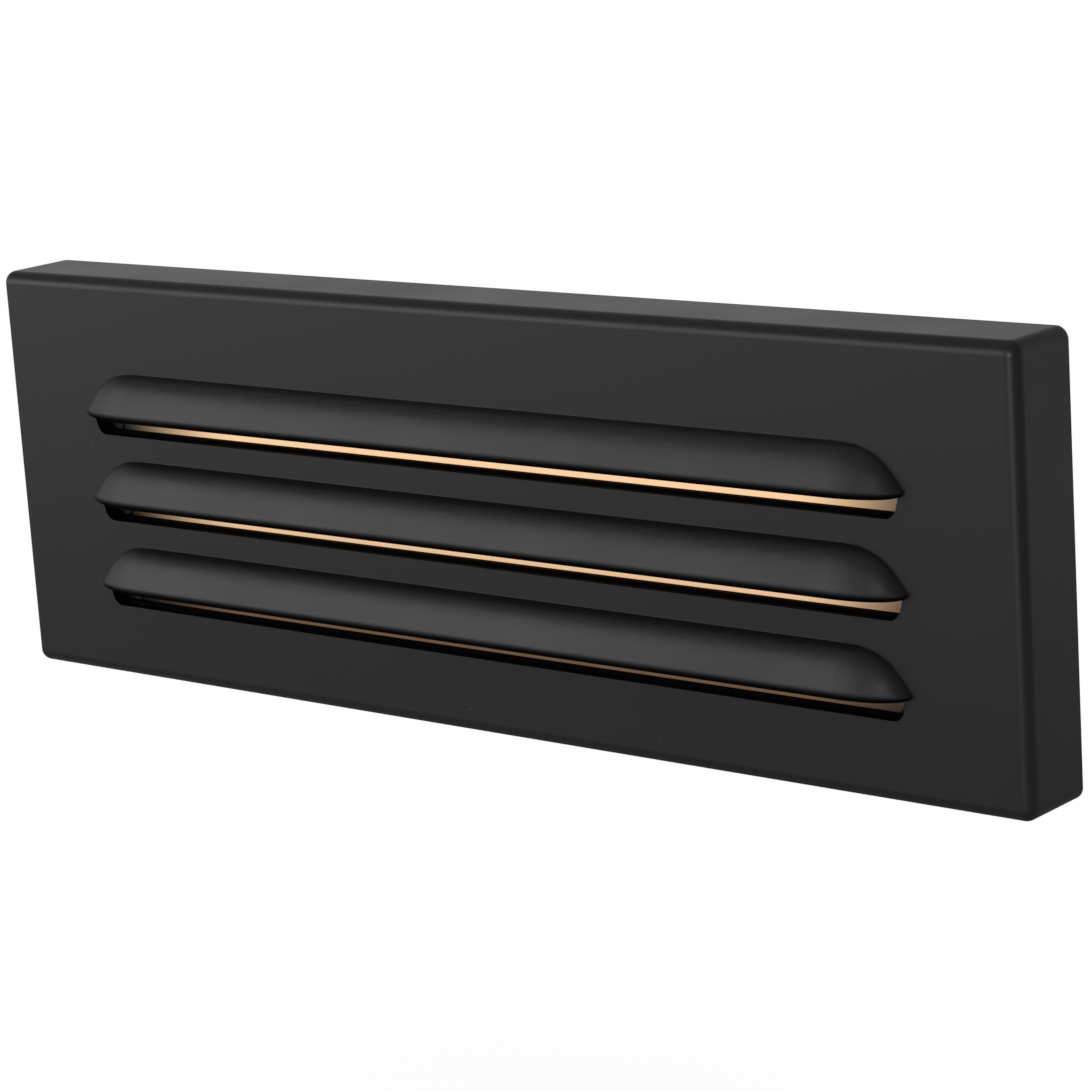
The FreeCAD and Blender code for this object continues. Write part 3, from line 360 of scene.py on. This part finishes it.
        # palest near the horizon, much darker above the tops of the walls and darkest overhead
        wall = add(tree, "ShaderNodeMapRange", {"Value": up, "From Min": 0.15, "From Max": 0.55,
                                                 "To Min": 1.0, "To Max": 0.28}).outputs["Result"]
        zenith = add(tree, "ShaderNodeMapRange", {"Value": up, "From Min": 0.55, "From Max": 1.0,
                                                   "To Min": 0.0, "To Max": 0.06}).outputs["Result"]
        height = add(tree, "ShaderNodeMath", {0: wall, 1: zenith}, operation="SUBTRACT")
        room = add(tree, "ShaderNodeMath", {0: room_level(tree, way), 1: height.outputs["Value"]},
                   operation="MULTIPLY")
        rays = add(tree, "ShaderNodeLightPath").outputs
        glossy = add(tree, "ShaderNodeMix", {"Factor": rays["Is Glossy Ray"], "A": 0.7,
                                              "B": room.outputs["Value"]}, data_type="FLOAT")
        seen = add(tree, "ShaderNodeMath", {0: rays["Is Camera Ray"], 1: rays["Is Transmission Ray"]},
                   operation="MAXIMUM")
        level = add(tree, "ShaderNodeMix", {"Factor": seen.outputs["Value"], "A": glossy.outputs["Result"],
                                             "B": 1.0}, data_type="FLOAT")
        light = add(tree, "ShaderNodeBackground", {"Color": WHITE, "Strength": level.outputs["Result"]})
        tree.links.new(light.outputs["Background"], output.inputs["Surface"])

    def lamp(self, context, name, place, size, power, colour=rgb("#FFFFFF")):
        """A soft box at a place in metres, turned to the light's middle; size in metres, power in watts."""
        data = bpy.data.lights.new(name, "AREA")
        data.shape = "RECTANGLE"
        data.size, data.size_y = size
        data.energy = power
        data.color = colour
        made = bpy.data.objects.new(name, data)
        spot = Vector(place)
        made.matrix_world = Matrix.Translation(spot) @ (-spot).to_track_quat("-Z", "Y").to_matrix().to_4x4()
        context.scene.collection.objects.link(made)
        return made


# ---------------------------------------------------------------- finishes

class STEPLIGHT_OT_cover(bpy.types.Operator):
    """Coats the cast cover and opens the mouths of its louvers a little"""
    bl_idname = "step_light.cover"
    bl_label = "Cover"

    def execute(self, context):
        settings = context.scene.step_light_cover
        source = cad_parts["cover"].data
        shape = bmesh.new()
        shape.from_mesh(source)
        normal = shape.loops.layers.float_vector.new("normal")
        for face in shape.faces:
            for loop in face.loops:
                loop[normal] = source.corner_normals[loop.index].vector
        bmesh.ops.remove_doubles(shape, verts=shape.verts, dist=0.001 * MM)
        for vert in shape.verts:
            vert.co.z += self.opened(*(value / MM for value in vert.co)) * MM
        mesh = bpy.data.meshes.new("louvered_cover")
        shape.to_mesh(mesh)
        normals = [loop[normal].copy() for face in shape.faces for loop in face.loops]
        shape.free()
        mesh.normals_split_custom_set(normals)
        mesh.materials.append(powder_coat("satin_black_powder_coat", settings.coat, settings.roughness))
        made = bpy.data.objects.new("louvered_cover", mesh)
        context.scene.collection.objects.link(made)
        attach(made, "cover")
        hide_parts("cover")
        return {"FINISHED"}

    def opened(self, x, y, z):
        """How far a point of a mouth moves up, in mm: the lip's foot rises a little, and the sill and the
        water bar behind it sink, so that as much of the lens shows as in the photograph."""
        for sill in SILLS:
            height = z - sill
            if abs(x) < MOUTH_HALF and -SLACK < height < LIP_CURL:
                if height >= LIP_FOOT - SLACK:
                    return LIP_RISE * (LIP_CURL - height) / (LIP_CURL - LIP_FOOT)
                if y > BAR_ZONE and height > BAR_TOP - SLACK:
                    return (LIP_RISE + BAR_DROP) * (height - BAR_TOP) / (LIP_FOOT - BAR_TOP) - BAR_DROP
                return (LIP_RISE + SILL_DROP) * height / LIP_FOOT - SILL_DROP
        return 0.0


class STEPLIGHT_OT_lens(bpy.types.Operator):
    """Paints a glow on the opal lens and finishes what holds it"""
    bl_idname = "step_light.lens"
    bl_label = "Lens and frame"

    def execute(self, context):
        settings = context.scene.step_light_cover
        # opal polycarbonate sheet, extruded: a smooth milky surface, with the emitters' light painted on it
        # as a glow
        dress(painted_glow_opal("painted_glow_opal_polycarbonate", settings.glow, settings.ember, settings.strength), "lens")
        # matt black powder coat over pressed sheet: a fine dry texture that stays dark beside the glow
        dress(moulded("matt_black_powder_coat", "#1A1918", "#131312", grain=0.5, depth=0.01,
                      roughness=(0.6, 0.7)), "lens_frame")
        # translucent silicone, moulded: milky grey with a soft waxy shine
        dress(moulded("translucent_silicone", "#C9C8C4", "#BDBCB8", roughness=(0.4, 0.5)), "lens_gasket",
              "lead_grommet")
        return {"FINISHED"}


class STEPLIGHT_OT_metalwork(bpy.types.Operator):
    """Finishes the plate, the tray and the wall gasket"""
    bl_idname = "step_light.metalwork"
    bl_label = "Plate, tray and gasket"

    def execute(self, context):
        # rolled aluminium sheet, folded and left bare: a pale satin metal with fine lines along its length
        dress(moulded("rolled_aluminium_sheet", "#C4C6C8", "#B4B6B9", patch=18.0, grain=0.25, metallic=1.0,
                      roughness=(0.3, 0.42), stretch=ROLLED), "back_plate")
        # soft aluminium sheet, pressed into a pan: the same lines, a little brighter
        dress(moulded("pressed_aluminium_sheet", "#CBCDCF", "#BDBFC2", patch=18.0, grain=0.25, metallic=1.0,
                      roughness=(0.28, 0.4), stretch=ROLLED), "led_tray")
        # closed-cell foam, cut from sheet: a dull black surface pitted with small cells
        dress(moulded("closed_cell_foam", "#2B2B2B", "#1E1E1E", patch=2.0, grain=0.5, depth=0.12,
                      roughness=(0.85, 0.98)), "wall_gasket", "case_gasket")
        # filled silicone pad: soft, chalky grey and almost without shine
        dress(moulded("grey_thermal_pad", "#9FA3A8", "#93979C", roughness=(0.7, 0.8)), "thermal_pad")
        return {"FINISHED"}


class STEPLIGHT_OT_emitters(bpy.types.Operator):
    """Finishes the emitter board and the reflector"""
    bl_idname = "step_light.emitters"
    bl_label = "Emitters"

    def execute(self, context):
        # white solder mask over a board with a metal core: smooth, slightly glossy white
        dress(moulded("white_solder_mask", "#EDEDE9", "#E3E3DF", roughness=(0.3, 0.4)), "led_board")
        # phosphor in clear resin: a smooth yellow face
        dress(moulded("emitter_package", "#F0D684", "#E8C96C", roughness=(0.35, 0.45)), "led_emitters")
        # moulded white plastic: clean, with a soft sheen
        dress(moulded("moulded_white_plastic", "#EFEFEC", "#E6E6E2", roughness=(0.4, 0.5)), "led_connector",
              "reflector")
        return {"FINISHED"}


class STEPLIGHT_OT_driver(bpy.types.Operator):
    """Finishes the driver's case and all that stands on its board"""
    bl_idname = "step_light.driver"
    bl_label = "Driver"

    def execute(self, context):
        # glass-filled nylon from a sparked mould: charcoal, with a fine even texture
        dress(moulded("moulded_black_plastic", "#2A2A2B", "#222223", grain=0.5, depth=0.03,
                      roughness=(0.5, 0.65)), "driver_case")
        # moulded rubber: black and dull
        dress(moulded("moulded_black_rubber", "#202020", "#191919", roughness=(0.7, 0.85)), "cable_bushing")
        # green solder mask over glass laminate: smooth and glossy
        dress(moulded("green_solder_mask", "#1C6B3C", "#175D33", roughness=(0.25, 0.35)), "driver_board")
        # pressed and fired ferrite: dark grey, like unglazed stoneware
        dress(moulded("pressed_ferrite", "#3C3C40", "#2F2F33", roughness=(0.6, 0.8)), "transformer_core")
        # polyester tape around the winding: a smooth yellow film
        dress(moulded("yellow_winding_tape", "#E0B532", "#D3A726", roughness=(0.3, 0.45)), "transformer_coil")
        # enamelled copper wire: bright metal under a clear brown varnish
        dress(moulded("enamelled_copper_wire", "#B4683A", "#A2582E", roughness=(0.2, 0.32), metallic=1.0),
              "driver_choke")
        # shrink sleeve on the capacitors' cans: a tight, shiny, dark film
        dress(moulded("dark_shrink_sleeve", "#232A3C", "#1C2231", roughness=(0.25, 0.35)),
              "driver_capacitors")
        # moulded epoxy around the chips: black and matt
        dress(moulded("moulded_epoxy", "#2B2B2C", "#232324", roughness=(0.55, 0.7)), "driver_chips")
        # moulded green nylon: even colour and a soft sheen
        dress(moulded("moulded_green_nylon", "#2E7B57", "#276D4C", roughness=(0.4, 0.5)), "supply_terminal")
        # extruded wire insulation: smooth and fairly shiny, one lead black and one red
        dress(moulded("black_insulation", "#222222", "#1A1A1A", roughness=(0.3, 0.4)), "led_lead_negative")
        dress(moulded("red_insulation", "#A82018", "#981B14", roughness=(0.3, 0.4)), "led_lead_positive")
        return {"FINISHED"}


class STEPLIGHT_OT_fasteners(bpy.types.Operator):
    """Finishes the screws and the earth washer"""
    bl_idname = "step_light.fasteners"
    bl_label = "Screws"

    def execute(self, context):
        # bright zinc plate over cold-headed steel: a clean, slightly clouded shine
        dress(moulded("bright_zinc_plate", "#C8CACC", "#B9BCBF", patch=3.0, grain=0.12, depth=0.002,
                      roughness=(0.22, 0.34), metallic=1.0),
              "lens_screws", "tray_screws", "board_screws", "case_screws", "driver_board_screws")
        # plain turned brass: a warm yellow metal
        dress(moulded("plain_brass", "#D9B566", "#CBA757", patch=3.0, roughness=(0.22, 0.34), metallic=1.0),
              "earth_screw", "earth_washer")
        # steel with a black oxide skin: near black with a metal's sharp shine
        dress(moulded("black_oxide_steel", "#2A2A2C", "#202022", patch=3.0, roughness=(0.3, 0.42),
                      metallic=1.0), "cover_screw_left", "cover_screw_right")
        return {"FINISHED"}


class STEPLIGHT_PT_panel(bpy.types.Panel):
    """Lists the light's pieces in the sidebar"""
    bl_idname = "STEPLIGHT_PT_panel"
    bl_label = "Step Light"
    bl_space_type = "VIEW_3D"
    bl_region_type = "UI"
    bl_category = "Step Light"

    def draw(self, context):
        for settings in (context.scene.step_light_cover, context.scene.step_light_stage):
            for name in settings.__annotations__:
                self.layout.prop(settings, name)
        for operator in OPERATORS:
            self.layout.operator(operator.bl_idname)


OPERATORS = (
    STEPLIGHT_OT_stage, STEPLIGHT_OT_cover, STEPLIGHT_OT_lens, STEPLIGHT_OT_metalwork,
    STEPLIGHT_OT_emitters, STEPLIGHT_OT_driver, STEPLIGHT_OT_fasteners,
)
CLASSES = (CoverSettings, StageSettings, *OPERATORS, STEPLIGHT_PT_panel)


def register():
    for made in CLASSES:
        bpy.utils.register_class(made)
    bpy.types.Scene.step_light_cover = bpy.props.PointerProperty(type=CoverSettings)
    bpy.types.Scene.step_light_stage = bpy.props.PointerProperty(type=StageSettings)


def unregister():
    del bpy.types.Scene.step_light_stage
    del bpy.types.Scene.step_light_cover
    for made in reversed(CLASSES):
        bpy.utils.unregister_class(made)


def main():
    register()
    bpy.ops.step_light.stage()
    bpy.ops.step_light.cover()
    bpy.ops.step_light.lens()
    bpy.ops.step_light.metalwork()
    bpy.ops.step_light.emitters()
    bpy.ops.step_light.driver()
    bpy.ops.step_light.fasteners()


if __name__ == "__main__":
    main()
